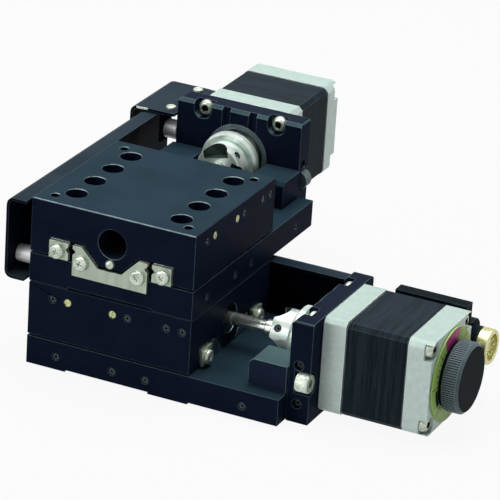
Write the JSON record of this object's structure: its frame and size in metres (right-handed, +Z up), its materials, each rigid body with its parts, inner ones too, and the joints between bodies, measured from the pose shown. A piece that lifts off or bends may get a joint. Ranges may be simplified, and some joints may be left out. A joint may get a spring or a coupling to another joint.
{
  "type": "xy translation stage",
  "caption": "Two crossed-roller linear tables stacked at right angles, each driven by a lead screw from a stepping motor with a hand knob behind it.",
  "frame": {"origin": "middle of the bottom of the stage's box with both tables at mid travel, on the surface that it stands on", "axes": "+X along the lower axis towards its motor, +Y along the upper axis towards its motor, +Z up"},
  "size_m": [0.1842, 0.1748, 0.0775],
  "materials": {
    "black_anodised": "black anodised, satin",
    "black_sheet": "black, semi-matt",
    "cast_aluminium": "die cast, satin",
    "motor_laminations": "black stacked steel sheet",
    "stainless_plate": "rolled stainless sheet",
    "ground_steel": "ground",
    "polished_steel": "polished",
    "brass_shell": "satin",
    "bronze": "machined bronze",
    "black_plastic": "moulded black",
    "white_plastic": "natural nylon",
    "printed_plate": "printed plate"
  },
  "bodies": {
    "base": {"x_base": "black_anodised", "x_coupling_block": "black_anodised", "x_motor_bracket": "black_anodised", "x_motor_flange": "cast_aluminium", "x_motor_body": "motor_laminations", "x_motor_rear_cap": "cast_aluminium", "x_dial_plate": "printed_plate", "x_connector_housing": "black_plastic", "x_connector_shell": "brass_shell", "x_side_cover": "black_sheet", "x_cover_spacer": "white_plastic", "x_inner_rail_a": "ground_steel", "x_inner_rail_b": "ground_steel", "x_front_retainer": "stainless_plate"},
    "x_carriage": {"x_table": "black_anodised", "x_outer_rail_a": "ground_steel", "x_outer_rail_b": "ground_steel", "x_front_rail_stop_a": "stainless_plate", "x_front_rail_stop_b": "stainless_plate", "x_rear_rail_stop_a": "stainless_plate", "x_rear_rail_stop_b": "stainless_plate", "x_lead_nut": "bronze", "y_base": "black_anodised", "y_coupling_block": "black_anodised", "y_motor_bracket": "black_anodised", "y_motor_flange": "cast_aluminium", "y_motor_body": "motor_laminations", "y_motor_rear_cap": "cast_aluminium", "y_dial_plate": "printed_plate", "y_connector_housing": "black_plastic", "y_connector_shell": "brass_shell", "y_side_cover": "black_sheet", "y_cover_spacer": "white_plastic", "y_rear_cover": "black_sheet", "y_rear_cover_spacer": "white_plastic", "y_inner_rail_a": "ground_steel", "y_inner_rail_b": "ground_steel", "y_front_retainer": "stainless_plate"},
    "y_carriage": {"y_table": "black_anodised", "y_outer_rail_a": "ground_steel", "y_outer_rail_b": "ground_steel", "y_front_rail_stop_a": "stainless_plate", "y_front_rail_stop_b": "stainless_plate", "y_rear_rail_stop_a": "stainless_plate", "y_rear_rail_stop_b": "stainless_plate", "y_lead_nut": "bronze"},
    "x_screw": {"x_lead_screw": "polished_steel", "x_coupling": "polished_steel", "x_motor_shaft": "polished_steel", "x_knob": "black_plastic"},
    "y_screw": {"y_lead_screw": "polished_steel", "y_coupling": "polished_steel", "y_motor_shaft": "polished_steel", "y_knob": "black_plastic"},
    "x_cages": {"x_roller_cage_a": "bronze", "x_roller_cage_b": "bronze"},
    "y_cages": {"y_roller_cage_a": "bronze", "y_roller_cage_b": "bronze"}
  },
  "joints": [
    {"name": "x_slide", "type": "slide", "parent": "base", "child": "x_carriage", "axis": [1, 0, 0], "range_m": [-0.01, 0.01]},
    {"name": "x_cage_slide", "type": "slide", "parent": "base", "child": "x_cages", "axis": [1, 0, 0], "range_m": [-0.005, 0.005]},
    {"name": "x_screw_turn", "type": "hinge", "parent": "base", "child": "x_screw", "pos_m": [-0.0442, -0.0489, 0.023], "axis": [1, 0, 0], "range_deg": [-1800, 1800]},
    {"name": "y_slide", "type": "slide", "parent": "x_carriage", "child": "y_carriage", "axis": [0, 1, 0], "range_m": [-0.01, 0.01]},
    {"name": "y_cage_slide", "type": "slide", "parent": "x_carriage", "child": "y_cages", "axis": [0, 1, 0], "range_m": [-0.005, 0.005]},
    {"name": "y_screw_turn", "type": "hinge", "parent": "x_carriage", "child": "y_screw", "pos_m": [-0.0442, -0.0489, 0.058], "axis": [0, 1, 0], "range_deg": [-1800, 1800]}
  ],
  "couplings": [
    {"joint": "x_cage_slide", "follows": "x_slide", "ratio": 0.5},
    {"joint": "x_screw_turn", "follows": "x_slide", "rad_per_m": -3141.6},
    {"joint": "y_cage_slide", "follows": "y_slide", "ratio": 0.5},
    {"joint": "y_screw_turn", "follows": "y_slide", "rad_per_m": -3141.6}
  ]
}
